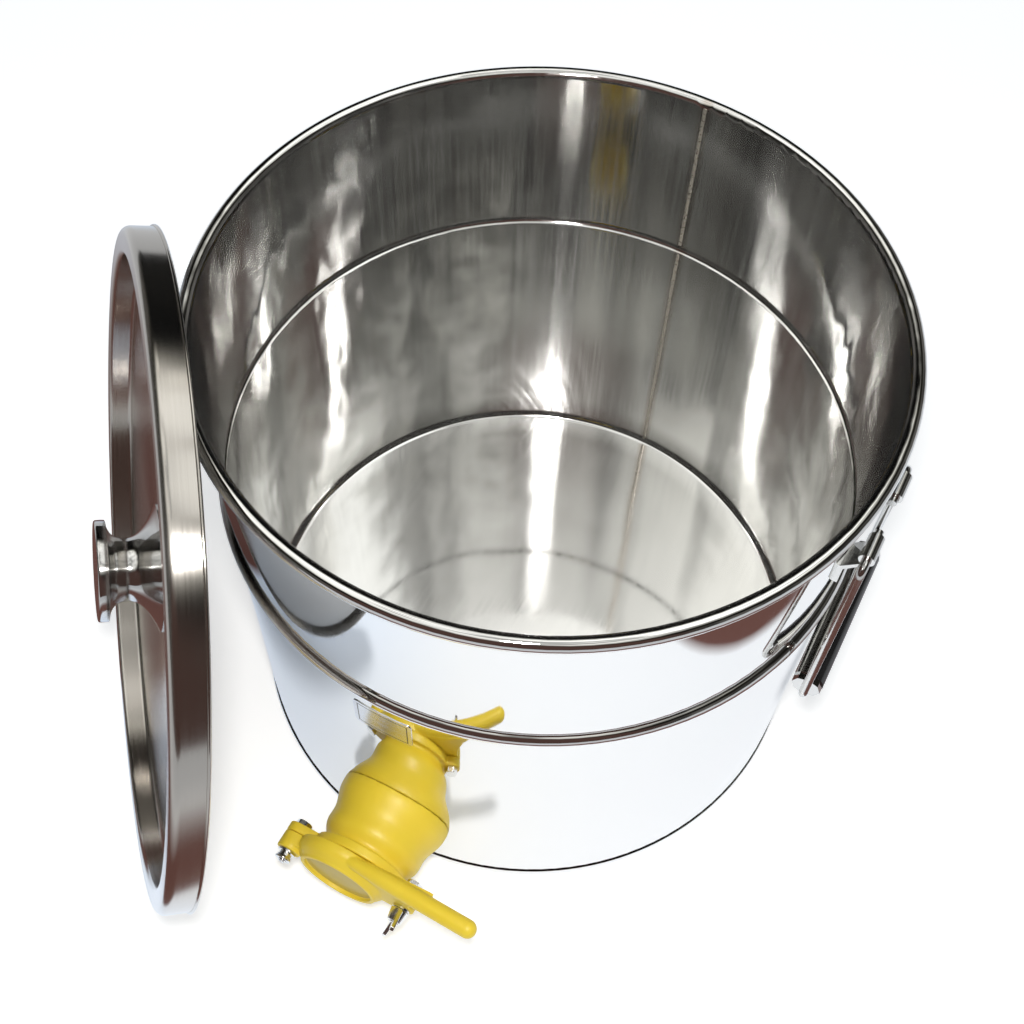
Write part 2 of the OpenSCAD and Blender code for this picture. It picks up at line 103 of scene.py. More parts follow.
def new_group(name, inputs, outputs):
    group = bpy.data.node_groups.new(name, "ShaderNodeTree")
    for label, kind, value in inputs:
        socket = group.interface.new_socket(label, in_out="INPUT", socket_type="NodeSocket" + kind)
        socket.default_value = value
    for label, kind in outputs:
        group.interface.new_socket(label, in_out="OUTPUT", socket_type="NodeSocket" + kind)
    return group, group.nodes.new("NodeGroupInput"), group.nodes.new("NodeGroupOutput")


def place_group(tree, group, **values):
    node = tree.nodes.new("ShaderNodeGroup")
    node.node_tree = group
    for key, value in values.items():
        node.inputs[key].default_value = value
    return node


def join(tree, value, socket):
    """Sets a socket to a plain value, or links it to another socket."""
    if isinstance(value, bpy.types.NodeSocket):
        tree.links.new(value, socket)
    else:
        socket.default_value = value


def math_node(tree, operation, first, second=0.0):
    node = tree.nodes.new("ShaderNodeMath")
    node.operation = operation
    join(tree, first, node.inputs[0])
    join(tree, second, node.inputs[1])
    return node.outputs["Value"]


def vector_node(tree, operation, first, second=(0.0, 0.0, 0.0)):
    node = tree.nodes.new("ShaderNodeVectorMath")
    node.operation = operation
    join(tree, first, node.inputs[0])
    join(tree, second, node.inputs[1])
    return node.outputs["Value" if operation in ("LENGTH", "DOT_PRODUCT") else "Vector"]


def split(tree, vector):
    """The X, Y and Z of a vector."""
    node = tree.nodes.new("ShaderNodeSeparateXYZ")
    tree.links.new(vector, node.inputs["Vector"])
    return node.outputs


def mapped_range(tree, value, low, high, to_low, to_high):
    node = tree.nodes.new("ShaderNodeMapRange")
    for socket, number in zip(node.inputs, (value, low, high, to_low, to_high)):
        join(tree, number, socket)
    return node.outputs["Result"]


def mixed(tree, kind, factor, first, second):
    """A mix of two colours (RGBA) or numbers (FLOAT)."""
    node = tree.nodes.new("ShaderNodeMix")
    node.data_type = kind
    picks = [s for s in node.inputs if s.enabled and s.name in ("A", "B")]
    join(tree, factor, node.inputs["Factor"])
    join(tree, first, picks[0])
    join(tree, second, picks[1])
    return next(s for s in node.outputs if s.enabled)


def noise(tree, vector, scale, detail, rough=0.5, distortion=0.0):
    node = tree.nodes.new("ShaderNodeTexNoise")
    join(tree, vector, node.inputs["Vector"])
    join(tree, scale, node.inputs["Scale"])
    node.inputs["Detail"].default_value = detail
    node.inputs["Roughness"].default_value = rough
    node.inputs["Distortion"].default_value = distortion
    return node.outputs["Fac"]


def object_place(tree):
    return tree.nodes.new("ShaderNodeTexCoord").outputs["Object"]


def bump(tree, height, strength, distance, normal=None):
    node = tree.nodes.new("ShaderNodeBump")
    node.inputs["Strength"].default_value = strength
    node.inputs["Distance"].default_value = distance
    join(tree, height, node.inputs["Height"])
    if normal:
        tree.links.new(normal, node.inputs["Normal"])
    return node.outputs["Normal"]


# Shared effects. Most of a noise lies in this span
NOISE_SPAN = (0.3, 0.7)


def make_rolled_lines():
    """Fine streaks left by rolling and brushing, along one axis of the piece."""
    group, given, made = new_group(
        "rolled lines",
        [
            ("Stretch", "Vector", (900.0, 900.0, 12.0)),
            ("Low", "Float", 0.1),
            ("High", "Float", 0.2),
        ],
        [("Roughness", "Float"), ("Lines", "Float")],
    )
    stretched = vector_node(group, "MULTIPLY", object_place(group), given.outputs["Stretch"])
    streaks = noise(group, stretched, 1.0, 4.0, 0.6)
    spread = mapped_range(group, streaks, *NOISE_SPAN, given.outputs["Low"], given.outputs["High"])
    group.links.new(spread, made.inputs["Roughness"])
    group.links.new(streaks, made.inputs["Lines"])
    return group


def make_spun_lines():
    """Fine rings left by spinning, round the Z axis of the place that is given."""
    group, given, made = new_group(
        "spun lines",
        [("Place", "Vector", (0.0, 0.0, 0.0)), ("Count", "Float", 900.0)],
        [("Lines", "Float"), ("Radius", "Float")],
    )
    flat = vector_node(group, "MULTIPLY", given.outputs["Place"], (1.0, 1.0, 0.0))
    radius = vector_node(group, "LENGTH", flat)
    spun = group.nodes.new("ShaderNodeCombineXYZ")
    group.links.new(radius, spun.inputs["X"])
    group.links.new(split(group, given.outputs["Place"])["Z"], spun.inputs["Z"])
    lines = noise(group, spun.outputs["Vector"], given.outputs["Count"], 3.0, 0.6)
    group.links.new(lines, made.inputs["Lines"])
    group.links.new(radius, made.inputs["Radius"])
    return group


def make_handling_marks():
    """Faint smears and dull patches from handling."""
    group, given, made = new_group(
        "handling marks",
        [("Scale", "Float", 14.0), ("Amount", "Float", 0.08)],
        [("Marks", "Float")],
    )
    broad = noise(group, object_place(group), given.outputs["Scale"], 5.0, 0.5, 0.8)
    patch = mapped_range(group, broad, 0.52, 0.75, 0.0, given.outputs["Amount"])
    group.links.new(patch, made.inputs["Marks"])
    return group


def make_sheet_waves():
    """Slow waves and shallow dents of thin sheet, as a height."""
    group, given, made = new_group(
        "sheet waves",
        [("Scale", "Float", 9.0), ("Stretch", "Vector", (1.0, 1.0, 0.5))],
        [("Height", "Float")],
    )
    stretched = vector_node(group, "MULTIPLY", object_place(group), given.outputs["Stretch"])
    height = noise(group, stretched, given.outputs["Scale"], 1.5)
    group.links.new(height, made.inputs["Height"])
    return group


rolled_lines = make_rolled_lines()
spun_lines = make_spun_lines()
handling_marks = make_handling_marks()
sheet_waves = make_sheet_waves()

# Colours
PALE_STEEL = (0.85, 0.85, 0.84, 1.0)
# Lid steel: darker, as real steel is, and warmed brown as a painted reflection of brown surroundings
LID_STEEL_AND_BROWN_REFLECTION = (0.60, 0.57, 0.53, 1.0)
WIRE_STEEL = (0.70, 0.70, 0.69, 1.0)
WELD_STEEL = (0.56, 0.52, 0.46, 1.0)
HEAT_TINT = (0.55, 0.45, 0.34, 1.0)
ZINC = (0.84, 0.84, 0.83, 1.0)
FOIL = (0.74, 0.75, 0.77, 1.0)
FRAME_INK = (0.02, 0.02, 0.02, 1.0)
YELLOWS = ((0.80, 0.58, 0.028, 1.0), (0.90, 0.68, 0.055, 1.0))
# Painted shade: a dull dark brown laid into the yellow inside the flap's recess
RECESS_SHADE_COLOUR = (0.34, 0.26, 0.09, 1.0)
RUBBERS = ((0.016, 0.016, 0.016, 1.0), (0.03, 0.03, 0.03, 1.0))
BLACKS = ((0.010, 0.010, 0.011, 1.0), (0.018, 0.017, 0.017, 1.0))

# Roughness of sheet, from its smoothest line to its dullest
OUTER_FINISH = (0.012, 0.03)
INNER_FINISH = (0.07, 0.13)
FLOOR_FINISH = (0.05, 0.11)
FOIL_FINISH = (0.14, 0.24)

# Strength and depth of the fine lines of rolling and of spinning
LINE_BUMP = (0.04, 0.00004)
RING_BUMP = (0.06, 0.00006)

# Upright lines in the drum, where the heat beside its weld fades, and where the dents begin
UPRIGHT = (420.0, 420.0, 7.0)
HEAT_REACH = (0.0015, 0.005)
HEAT_SHARE = 0.4
DENT_REACH = (0.06, 0.13)

# The flap's recess: its middle on the flap's face, its radius, and how strongly painted shade darkens it
RECESS_PLACE = (-0.008, -0.242, 0.0625)
RECESS_R = 0.0237
RECESS_SHADE_SHARE = 0.55

# The line round the plate: its distance from the edge, its width and its soft edge
FRAME_IN = 0.0028
FRAME_W = 0.0006
FRAME_SOFT = 0.0001


def new_steel(name, colour):
    material, tree, surface = new_material(name)
    surface.inputs["Base Color"].default_value = colour
    surface.inputs["Metallic"].default_value = 1.0
    return material, tree, surface


def marked(tree, roughness, amount=0.03):
    """Roughness with dull handling marks on top."""
    smears = place_group(tree, handling_marks, Amount=amount)
    return math_node(tree, "ADD", roughness, smears.outputs["Marks"])


def lined(tree, stretch, finish):
    """Fine lines of rolling, with roughness between two ends."""
    return place_group(tree, rolled_lines, Stretch=stretch, Low=finish[0], High=finish[1])


def brushed(tree, surface, stretch, finish):
    """Gives a steel's roughness its fine lines. Returns the normal that they bend."""
    lines = lined(tree, stretch, finish)
    tree.links.new(marked(tree, lines.outputs["Roughness"]), surface.inputs["Roughness"])
    return bump(tree, lines.outputs["Lines"], *LINE_BUMP)


def draw_out(surface):
    """Draws highlights out across the lines of the finish."""
    surface.inputs["Anisotropic"].default_value = 0.9
    surface.inputs["Anisotropic Rotation"].default_value = 0.25


def steel(name, colour, finish, grain):
    """Plain steel with an even fine grain in its roughness and bump."""
    material, tree, surface = new_steel(name, colour)
    normal = brushed(tree, surface, (grain, grain, grain), finish)
    tree.links.new(normal, surface.inputs["Normal"])
    return material


def weld_tint(tree):
    """A mask beside the upright weld, where the sheet was heated."""
    turned = tree.nodes.new("ShaderNodeMapping")
    turned.inputs["Rotation"].default_value = (0.0, 0.0, -SEAM_TURN)
    tree.links.new(object_place(tree), turned.inputs["Vector"])
    out, off, _ = split(tree, turned.outputs["Vector"])
    near = mapped_range(tree, math_node(tree, "ABSOLUTE", off), *HEAT_REACH, 1.0, 0.0)
    return math_node(tree, "MULTIPLY", near, math_node(tree, "GREATER_THAN", out, 0.0))


def drum_sheet():
    """The drum's sheet: a mirror outside, hazier and wavy inside, tinted beside its weld."""
    material, tree, surface = new_steel("drum sheet", PALE_STEEL)
    draw_out(surface)
    place = object_place(tree)
    outer, inner = lined(tree, UPRIGHT, OUTER_FINISH), lined(tree, UPRIGHT, INNER_FINISH)
    facing = tree.nodes.new("ShaderNodeNewGeometry").outputs["Normal"]
    flat = vector_node(tree, "MULTIPLY", place, (1.0, 1.0, 0.0))
    side = math_node(tree, "GREATER_THAN", vector_node(tree, "DOT_PRODUCT", flat, facing), 0.0)
    inside = math_node(tree, "SUBTRACT", 1.0, side)
    finish = mixed(tree, "FLOAT", side, inner.outputs["Roughness"], outer.outputs["Roughness"])
    tree.links.new(marked(tree, finish, 0.02), surface.inputs["Roughness"])
    heated = math_node(tree, "MULTIPLY", weld_tint(tree), inside)
    tint = math_node(tree, "MULTIPLY", heated, HEAT_SHARE)
    colour = mixed(tree, "RGBA", tint, PALE_STEEL, HEAT_TINT)
    tree.links.new(colour, surface.inputs["Base Color"])
    across = math_node(tree, "ABSOLUTE", split(tree, place)["X"])
    dented = mapped_range(tree, across, *DENT_REACH, 0.0, 1.0)
    # Slow waves all over, upright waves inside, and dents at the inside's left and right
    layers = (
        (9.0, 0.5, 0.0007, 1.0),
        (18.0, 0.22, 0.0009, inside),
        (30.0, 0.6, 0.0010, math_node(tree, "MULTIPLY", dented, inside)),
    )
    normal = bump(tree, inner.outputs["Lines"], *LINE_BUMP)
    for scale, rise, depth, mask in layers:
        waves = place_group(tree, sheet_waves, Scale=scale, Stretch=(1.0, 1.0, rise))
        height = math_node(tree, "MULTIPLY", waves.outputs["Height"], mask)
        normal = bump(tree, height, 1.0, depth, normal)
    tree.links.new(normal, surface.inputs["Normal"])
    return material


def floor_sheet():
    """The drum's floor: hazy sheet with slow waves."""
    material, tree, surface = new_steel("floor sheet", PALE_STEEL)
    fine = brushed(tree, surface, (420.0, 9.0, 420.0), FLOOR_FINISH)
    waves = place_group(tree, sheet_waves, Scale=11.0, Stretch=(1.0, 1.0, 1.0))
    normal = bump(tree, waves.outputs["Height"], 1.0, 0.0006, fine)
    tree.links.new(normal, surface.inputs["Normal"])
    return material


def spun_steel(name, colour, shiny, dull, dull_r, depth):
    """Steel spun round the lid's axis: shiny, duller inside a radius, with slow waves of a depth."""
    material, tree, surface = new_steel(name, colour)
    draw_out(surface)
    place = object_place(tree)
    centred = tree.nodes.new("ShaderNodeMapping")
    centred.vector_type = "TEXTURE"
    centred.inputs["Location"].default_value = lid_foot
    centred.inputs["Rotation"].default_value = lid_matrix.to_euler()
    tree.links.new(place, centred.inputs["Vector"])
    rings = place_group(tree, spun_lines)
    tree.links.new(centred.outputs["Vector"], rings.inputs["Place"])
    lines = rings.outputs["Lines"]
    inside = math_node(tree, "LESS_THAN", rings.outputs["Radius"], dull_r)
    bright, satin = [mapped_range(tree, lines, *NOISE_SPAN, *ends) for ends in (shiny, dull)]
    finish = mixed(tree, "FLOAT", inside, bright, satin)
    tree.links.new(marked(tree, finish), surface.inputs["Roughness"])
    out = vector_node(tree, "SUBTRACT", place, lid_foot)
    around = vector_node(tree, "CROSS_PRODUCT", lid_axis, out)
    tree.links.new(vector_node(tree, "NORMALIZE", around), surface.inputs["Tangent"])
    waves = place_group(tree, sheet_waves, Scale=12.0, Stretch=(1.0, 1.0, 1.0))
    fine = bump(tree, lines, *RING_BUMP)
    normal = bump(tree, waves.outputs["Height"], 1.0, depth, fine)
    tree.links.new(normal, surface.inputs["Normal"])
    return material


def yellow_moulding():
    """Soft-gloss moulded plastic, a little cloudy, with a fine moulded skin, and painted shade in the
    flap's recess.
    """
    material, tree, surface = new_material("yellow moulding")
    place = object_place(tree)
    cloud = noise(tree, place, 30.0, 3.0)
    tint = mixed(tree, "RGBA", cloud, *YELLOWS)
    # Painted shade: the flap's recess is mixed towards a dark brown in its colour
    centred = vector_node(tree, "SUBTRACT", place, RECESS_PLACE)
    off = vector_node(tree, "LENGTH", vector_node(tree, "MULTIPLY", centred, (1.0, 0.0, 1.0)))
    inside = math_node(tree, "LESS_THAN", off, RECESS_R)
    front = math_node(tree, "LESS_THAN", split(tree, centred)["Y"], 0.0)
    recess = math_node(tree, "MULTIPLY", inside, front)
    recess_shade = math_node(tree, "MULTIPLY", recess, RECESS_SHADE_SHARE)
    tint = mixed(tree, "RGBA", recess_shade, tint, RECESS_SHADE_COLOUR)
    tree.links.new(tint, surface.inputs["Base Color"])
    finish = mapped_range(tree, cloud, *NOISE_SPAN, 0.38, 0.48)
    tree.links.new(finish, surface.inputs["Roughness"])
    skin = bump(tree, noise(tree, place, 1800.0, 2.0), 0.08, 0.0001)
    normal = bump(tree, noise(tree, place, 120.0, 2.0), 0.35, 0.0002, skin)
    tree.links.new(normal, surface.inputs["Normal"])
    surface.inputs["IOR"].default_value = 1.5
    surface.inputs["Subsurface Weight"].default_value = 0.12
    surface.inputs["Subsurface Radius"].default_value = (0.004, 0.003, 0.0006)
    surface.inputs["Subsurface Scale"].default_value = 1.0
    return material


def framed_foil():
    """The plate's satin foil, with a plain dark line round it inside its edge."""
    material, tree, surface = new_steel("satin plate", FOIL)
    normal = brushed(tree, surface, (20.0, 900.0, 900.0), FOIL_FINISH)
    tree.links.new(normal, surface.inputs["Normal"])
    low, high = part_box("blank_plate")
    across, _, level = split(tree, object_place(tree))
    level = math_node(tree, "SUBTRACT", level, (low.z + high.z) / 2)
    past = [
        math_node(tree, "SUBTRACT", math_node(tree, "ABSOLUTE", off), half - FRAME_IN)
        for off, half in ((across, high.x), (level, (high.z - low.z) / 2))
    ]
    off = math_node(tree, "ABSOLUTE", math_node(tree, "MAXIMUM", *past))
    line = mapped_range(tree, off, FRAME_W / 2, FRAME_W / 2 + FRAME_SOFT, 1.0, 0.0)
    tree.links.new(mixed(tree, "RGBA", line, FOIL, FRAME_INK), surface.inputs["Base Color"])
    tree.links.new(math_node(tree, "SUBTRACT", 1.0, line), surface.inputs["Metallic"])
    return material


def dark_material(name, tints, finish):
    """Dark rubber or plastic: cloudy in its colour and its gloss."""
    material, tree, surface = new_material(name)
    place = object_place(tree)
    cloud = noise(tree, place, 60.0, 4.0)
    tree.links.new(mixed(tree, "RGBA", cloud, *tints), surface.inputs["Base Color"])
    gloss = mapped_range(tree, cloud, *NOISE_SPAN, *finish)
    tree.links.new(gloss, surface.inputs["Roughness"])
    normal = bump(tree, noise(tree, place, 900.0, 2.0), 0.1, 0.0001)
    tree.links.new(normal, surface.inputs["Normal"])
    return material


drum_steel = drum_sheet()
floor_steel = floor_sheet()
lid_steel = spun_steel("mirror lid sheet", LID_STEEL_AND_BROWN_REFLECTION, (0.15, 0.21), (0.18, 0.27), lid_r * 0.92, 0.0002)
knob_steel = spun_steel("spun knob steel", WIRE_STEEL, (0.05, 0.11), (0.06, 0.14), knob_r, 0.00005)
bright_zinc = steel("bright zinc", ZINC, (0.10, 0.22), 300.0)
wire_steel = steel("bright wire", WIRE_STEEL, (0.07, 0.14), 300.0)
weld_steel = steel("weld ripples", WELD_STEEL, (0.22, 0.36), 700.0)
plate_foil = framed_foil()
yellow_plastic = yellow_moulding()
seal_rubber = dark_material("seal rubber", RUBBERS, (0.5, 0.65))
black_grip = dark_material("black grip", BLACKS, (0.12, 0.22))


# Pieces that take the place of plainer solids. Edges sharper than this stay creased
CREASE = math.radians(32.0)


def new_piece(name, mesh, material, node):
    """Puts a finished mesh in the scene in place of a node, on the node's body."""
    mesh.name = name
    mesh.materials.clear()
    mesh.materials.append(material)
    piece = bpy.data.objects.new(name, mesh)
    scene.collection.objects.link(piece)
    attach(piece, body_of(node))
    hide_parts(node)


def evaluated_mesh(work):
    """The plain mesh that an object's modifiers make. The object is then removed."""
    scene.collection.objects.link(work)
    graph = bpy.context.evaluated_depsgraph_get()
    mesh = bpy.data.meshes.new_from_object(work.evaluated_get(graph))
    bpy.data.objects.remove(work)
    return mesh


def rounded(node, grain, passes):
    """A node's shape with its edges rounded, as a mould or a casting leaves them."""
    mesh = bpy.data.meshes.new(node + "_work")
    joined = bmesh.new()
    joined.from_mesh(nodes[node].data)
    bmesh.ops.remove_doubles(joined, verts=joined.verts, dist=0.00001)
    joined.to_mesh(mesh)
    joined.free()
    work = bpy.data.objects.new(node + "_work", mesh)
    grid = work.modifiers.new("grid", "REMESH")
    grid.mode = "VOXEL"
    grid.voxel_size = grain
    grid.use_smooth_shade = True
    ease = work.modifiers.new("ease", "SMOOTH")
    ease.factor = 0.5
    ease.iterations = passes
    return evaluated_mesh(work)


def finished(work, name):
    """A smooth mesh from a worked form, with its creases kept."""
    bmesh.ops.recalc_face_normals(work, faces=work.faces)
    mesh = bpy.data.meshes.new(name)
    work.to_mesh(mesh)
    work.free()
    mesh.shade_smooth()
    mesh.set_sharp_from_angle(angle=CREASE)
    return mesh


def stack(rings, closed=False):
    """A mesh through rings of points. A closed stack joins its last ring to its first."""
    work = bmesh.new()
    rows = [[work.verts.new(point) for point in ring] for ring in rings]
    pairs = list(zip(rows, rows[1:]))
    if closed:
        pairs.append((rows[-1], rows[0]))
    else:
        work.faces.new(rows[0])
        work.faces.new(rows[-1])
    for low, high in pairs:
        for i in range(len(low)):
            j = (i + 1) % len(low)
            work.faces.new((low[i], low[j], high[j], high[i]))
    return finished(work, "stack")


def arc(place, radius, start, end, steps=8):
    """Points of a section's round corner, from one angle to another, in degrees."""
    turns = [math.radians(start + (end - start) * i / steps) for i in range(steps + 1)]
    return [(place[0] + radius * math.cos(a), place[1] + radius * math.sin(a)) for a in turns]


# Gate fasteners, turned round axes along Y
SIDES = 72
BOLT_R = 0.003
HEAD_H = 0.0035
PITCH = 0.001
PITCH_STEPS = 8
THREAD_DEPTH = 0.00045
THREAD_L = 0.012
CHAMFER = 0.0006
# A hexagon's corners are turned off from this share of its flats' distance
TURNED_OFF = 0.96
# The round nut: its neck as a share of its head, and the rounding of its head
NUT_NECK = 0.74
NUT_EASE = 0.0007


def gate_ring(x, y, z, radius):
    """Points round a fastener's axis. The radius is a function of the angle."""
    angles = [math.tau * i / SIDES for i in range(SIDES)]
    return [(x + radius(a) * math.cos(a), y, z + radius(a) * math.sin(a)) for a in angles]


def hex_reach(angle, corner):
    """Distance from a hexagon's middle to its edge, with a corner at angle zero."""
    return corner * math.cos(math.pi / 6) / math.cos(angle % (math.pi / 3) - math.pi / 6)


def hex_rings(x, z, corner, start, end):
    """Rings of a hexagon whose corners are turned off at its start."""
    flat = corner * math.cos(math.pi / 6)
    way = math.copysign(1.0, end - start)
    rings = []
    for depth in (0.0, CHAMFER * 0.3, CHAMFER * 0.6, CHAMFER):
        limit = flat * TURNED_OFF + (corner - flat * TURNED_OFF) * depth / CHAMFER
        level = start + way * depth
        rings.append(gate_ring(x, level, z, lambda a: min(hex_reach(a, corner), limit)))
    rings.append(gate_ring(x, end, z, lambda a: hex_reach(a, corner)))
    return rings


def threaded_bolt(node):
    """A hexagon bolt with its head at the wall's side and a thread at its tip."""
    low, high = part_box(node)
    x, z = (low.x + high.x) / 2, (low.z + high.z) / 2
    rings = hex_rings(x, z, (high.x - low.x) / 2, high.y, high.y - HEAD_H)
    start = low.y + THREAD_L
    rings += [gate_ring(x, y, z, lambda a: BOLT_R) for y in (high.y - HEAD_H, start)]
    count = round(THREAD_L / PITCH * PITCH_STEPS)
    for i in range(1, count + 1):
        along = THREAD_L * i / count
        crest = BOLT_R - max(0.0, along - THREAD_L + CHAMFER)
        turn = math.tau * along / PITCH
        rings.append(gate_ring(x, start - along, z, lambda a: (
            crest - THREAD_DEPTH * (0.5 - 0.5 * math.cos(turn - a)))))
    return stack(rings)


def round_nut(node):
    """A round nut on a collar, with a rounded head, on a plain round hole."""
    low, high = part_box(node)
    x, z = (low.x + high.x) / 2, (low.z + high.z) / 2
    head = (high.x - low.x) / 2
    neck, tall, eased_r = head * NUT_NECK, high.y - low.y, head - NUT_EASE
    section = [(high.y, BOLT_R), (high.y, neck)]
    section += [(high.y - tall * 0.45, neck), (high.y - tall * 0.5, eased_r)]
    section += [(y, r) for r, y in arc((eased_r, low.y + NUT_EASE), NUT_EASE, 60, -90)]
    section += [(low.y, BOLT_R + CHAMFER), (low.y + CHAMFER, BOLT_R)]
    return stack([gate_ring(x, y, z, lambda a: r) for y, r in section], closed=True)


# The knob's outline and the shallow dish in its top: shares of its foot's radius, then of its height
KNOB_SHARES = [
    (1.0, 0.0), (1.0, 0.03), (0.87, 0.085), (0.72, 0.17), (0.59, 0.28), (0.515, 0.39), (0.49, 0.5),
    (0.5, 0.62), (0.55, 0.73), (0.66, 0.8), (0.765, 0.825), (0.78, 0.85), (0.78, 0.97), (0.76, 1.0),
]
KNOB_DISH = [(0.72, 0.995), (0.6, 0.985), (0.3, 0.978), (0.02, 0.976)]
KNOB_SIDES = 128


def eased(points, steps):
    """Points on a smooth curve through the given ones."""
    shown = [Vector(p) for p in (points[0], *points, points[-1])]
    curve = []
    for a, b, c, d in zip(shown, shown[1:], shown[2:], shown[3:]):
        for i in range(steps):
            t = i / steps
            curve.append(0.5 * (2 * b + (c - a) * t + (2 * a - 5 * b + 4 * c - d) * t ** 2
                                + (3 * b - a - 3 * c + d) * t ** 3))
    return curve + [shown[-1]]


def lid_ring(out, along, sides):
    """Points round the lid's axis, at a radius and a height over the panel."""
    middle = lid_foot + along * lid_axis
    turns = [math.tau * i / sides for i in range(sides)]
    return [middle + out * (math.cos(a) * lid_side + math.sin(a) * lid_up) for a in turns]


def spun_knob():
    """The knob as one smooth spun form, with a shallow dish in its top."""
    height = knob_high - knob_low
    outline = [Vector(KNOB_SHARES[0])] + eased(KNOB_SHARES[1:], 5) + [Vector(p) for p in KNOB_DISH]
    rings = [(min(s.x, 1.0) * knob_r, min(s.y, 1.0) * height) for s in outline]
    return stack([lid_ring(out, along, KNOB_SIDES) for out, along in rings])


# The lid's section: radii and heights over its open edge
LID_R = lid_r - 0.0012
LID_SHEET = 0.0008
DISH_R = 0.183
SKIRT_H = 0.019
FACE_H = 0.004
LID_EDGE = 0.005
HEM_R = 0.001
DISH_FILLET = 0.003
DISH_EDGE = 0.0025
BOLT_HOLE = 0.003
PANEL_RINGS = (0.05, 0.1, 0.15)
LID_SIDES = 256


def spun_lid():
    """The lid as one sheet: dished panel, rounded edges, skirt and rolled hem."""
    inner = (DISH_R - DISH_FILLET, FACE_H + DISH_FILLET)
    shoulder = (DISH_R + DISH_EDGE, SKIRT_H - DISH_EDGE)
    corner = (LID_R - LID_EDGE, SKIRT_H - LID_EDGE)
    hem = (LID_R - LID_SHEET + HEM_R, HEM_R)
    panel = (BOLT_HOLE, *PANEL_RINGS)
    section = [(r, FACE_H) for r in panel]
    section += arc(inner, DISH_FILLET, -90, 0) + arc(shoulder, DISH_EDGE, 180, 90)
    section += arc(corner, LID_EDGE, 90, 0) + arc(hem, HEM_R, 100, -180, 20)
    section += arc(corner, LID_EDGE - LID_SHEET, 0, 90)
    section += arc(shoulder, DISH_EDGE - LID_SHEET, 90, 180)
    section += arc(inner, DISH_FILLET + LID_SHEET, 0, -90)
    section += [(r, FACE_H - LID_SHEET) for r in reversed(panel)]
    return stack([lid_ring(r, h - FACE_H, LID_SIDES) for r, h in section], closed=True)


# The floor's seam, from inside its foot round to the wall: distance in from the outside, and height
SEAM_FORM = [
    (0.0034, 0.0065), (0.0032, 0.0062), (0.0032, 0.0004), (0.0028, 0.0), (0.0011, 0.0),
    (0.0007, 0.0004), (0.0007, 0.0050), (0.0010, 0.0053), (0.0007, 0.0055), (0.0003, 0.0059),
    (0.0001, 0.0065), (0.0, 0.0072), (0.0001, 0.0079), (0.0003, 0.0084), (0.0006, 0.0087),
    (0.0008, 0.0085), (0.0009, 0.0078), (0.0012, 0.0070), (0.0012, 0.0012), (0.0020, 0.0012),
]
SEAM_IN = 0.002
FLOOR_COVE = 0.004
FLOOR_UNDER = 0.0065
FLOOR_MIDDLE = 0.0005
FLOOR_SIDES = 192


def floor_pan():
    """The floor sheet with its seam: a roll over a plain foot, and a hollow cove against the wall."""
    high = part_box("tank_floor")[1]
    inner, top = high.x - SEAM_IN, high.z - FLOOR_COVE
    section = [(FLOOR_MIDDLE, FLOOR_UNDER)] + [(high.x - depth, z) for depth, z in SEAM_FORM]
    section += arc((inner - FLOOR_COVE, high.z), FLOOR_COVE, 0, -90, 10)
    section += [(r, top) for r in (0.9 * inner, 0.6 * inner, 0.3 * inner, FLOOR_MIDDLE)]
    turns = [math.tau * i / FLOOR_SIDES for i in range(FLOOR_SIDES)]
    return stack([[(r * math.cos(a), r * math.sin(a), z) for a in turns] for r, z in section])


# The plate: its thickness, the rounding of its corners, and where its columns of points stand
FOIL_T = 0.0004
FOIL_CORNER = 0.0025
EDGE_STOPS = [0.87, 0.91, 0.95, 0.98, 1.0]
FOIL_STOPS = [-s for s in reversed(EDGE_STOPS)] + [i / 10 for i in range(-8, 9)] + EDGE_STOPS


def foil_plate():
    """The blank plate: thin foil bent to the wall, with rounded corners."""
    low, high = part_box("blank_plate")
    outer, mid, tall = -low.y, (low.z + high.z) / 2, (high.z - low.z) / 2
    wall = outer - FOIL_T
    half = math.asin(high.x / outer) * outer
    columns = []
    for share in FOIL_STOPS:
        along = share * half
        over = max(0.0, abs(along) - (half - FOIL_CORNER))
        trim = FOIL_CORNER - math.sqrt(FOIL_CORNER ** 2 - over ** 2)
        columns.append((along / outer, tall - trim))
    work = bmesh.new()
    rows = []
    for radius, side in ((wall, 1), (outer, 1), (outer, -1), (wall, -1)):
        points = [(radius * math.sin(t), -radius * math.cos(t), mid + side * h) for t, h in columns]
        rows.append([work.verts.new(point) for point in points])
    for first, second in zip(rows, rows[1:] + rows[:1]):
        for i in range(len(first) - 1):
            work.faces.new((first[i], first[i + 1], second[i + 1], second[i]))
    for i in (0, -1):
        work.faces.new([row[i] for row in rows])
    return finished(work, "foil_plate")


# Weld ripples, laid along straight runs by geometry nodes: half sizes, spacing and depth in the seam
RIPPLE = (0.00028, 0.0014, 0.0010)
RIPPLE_SPACING = 0.0011
RIPPLE_SINK = 0.0001


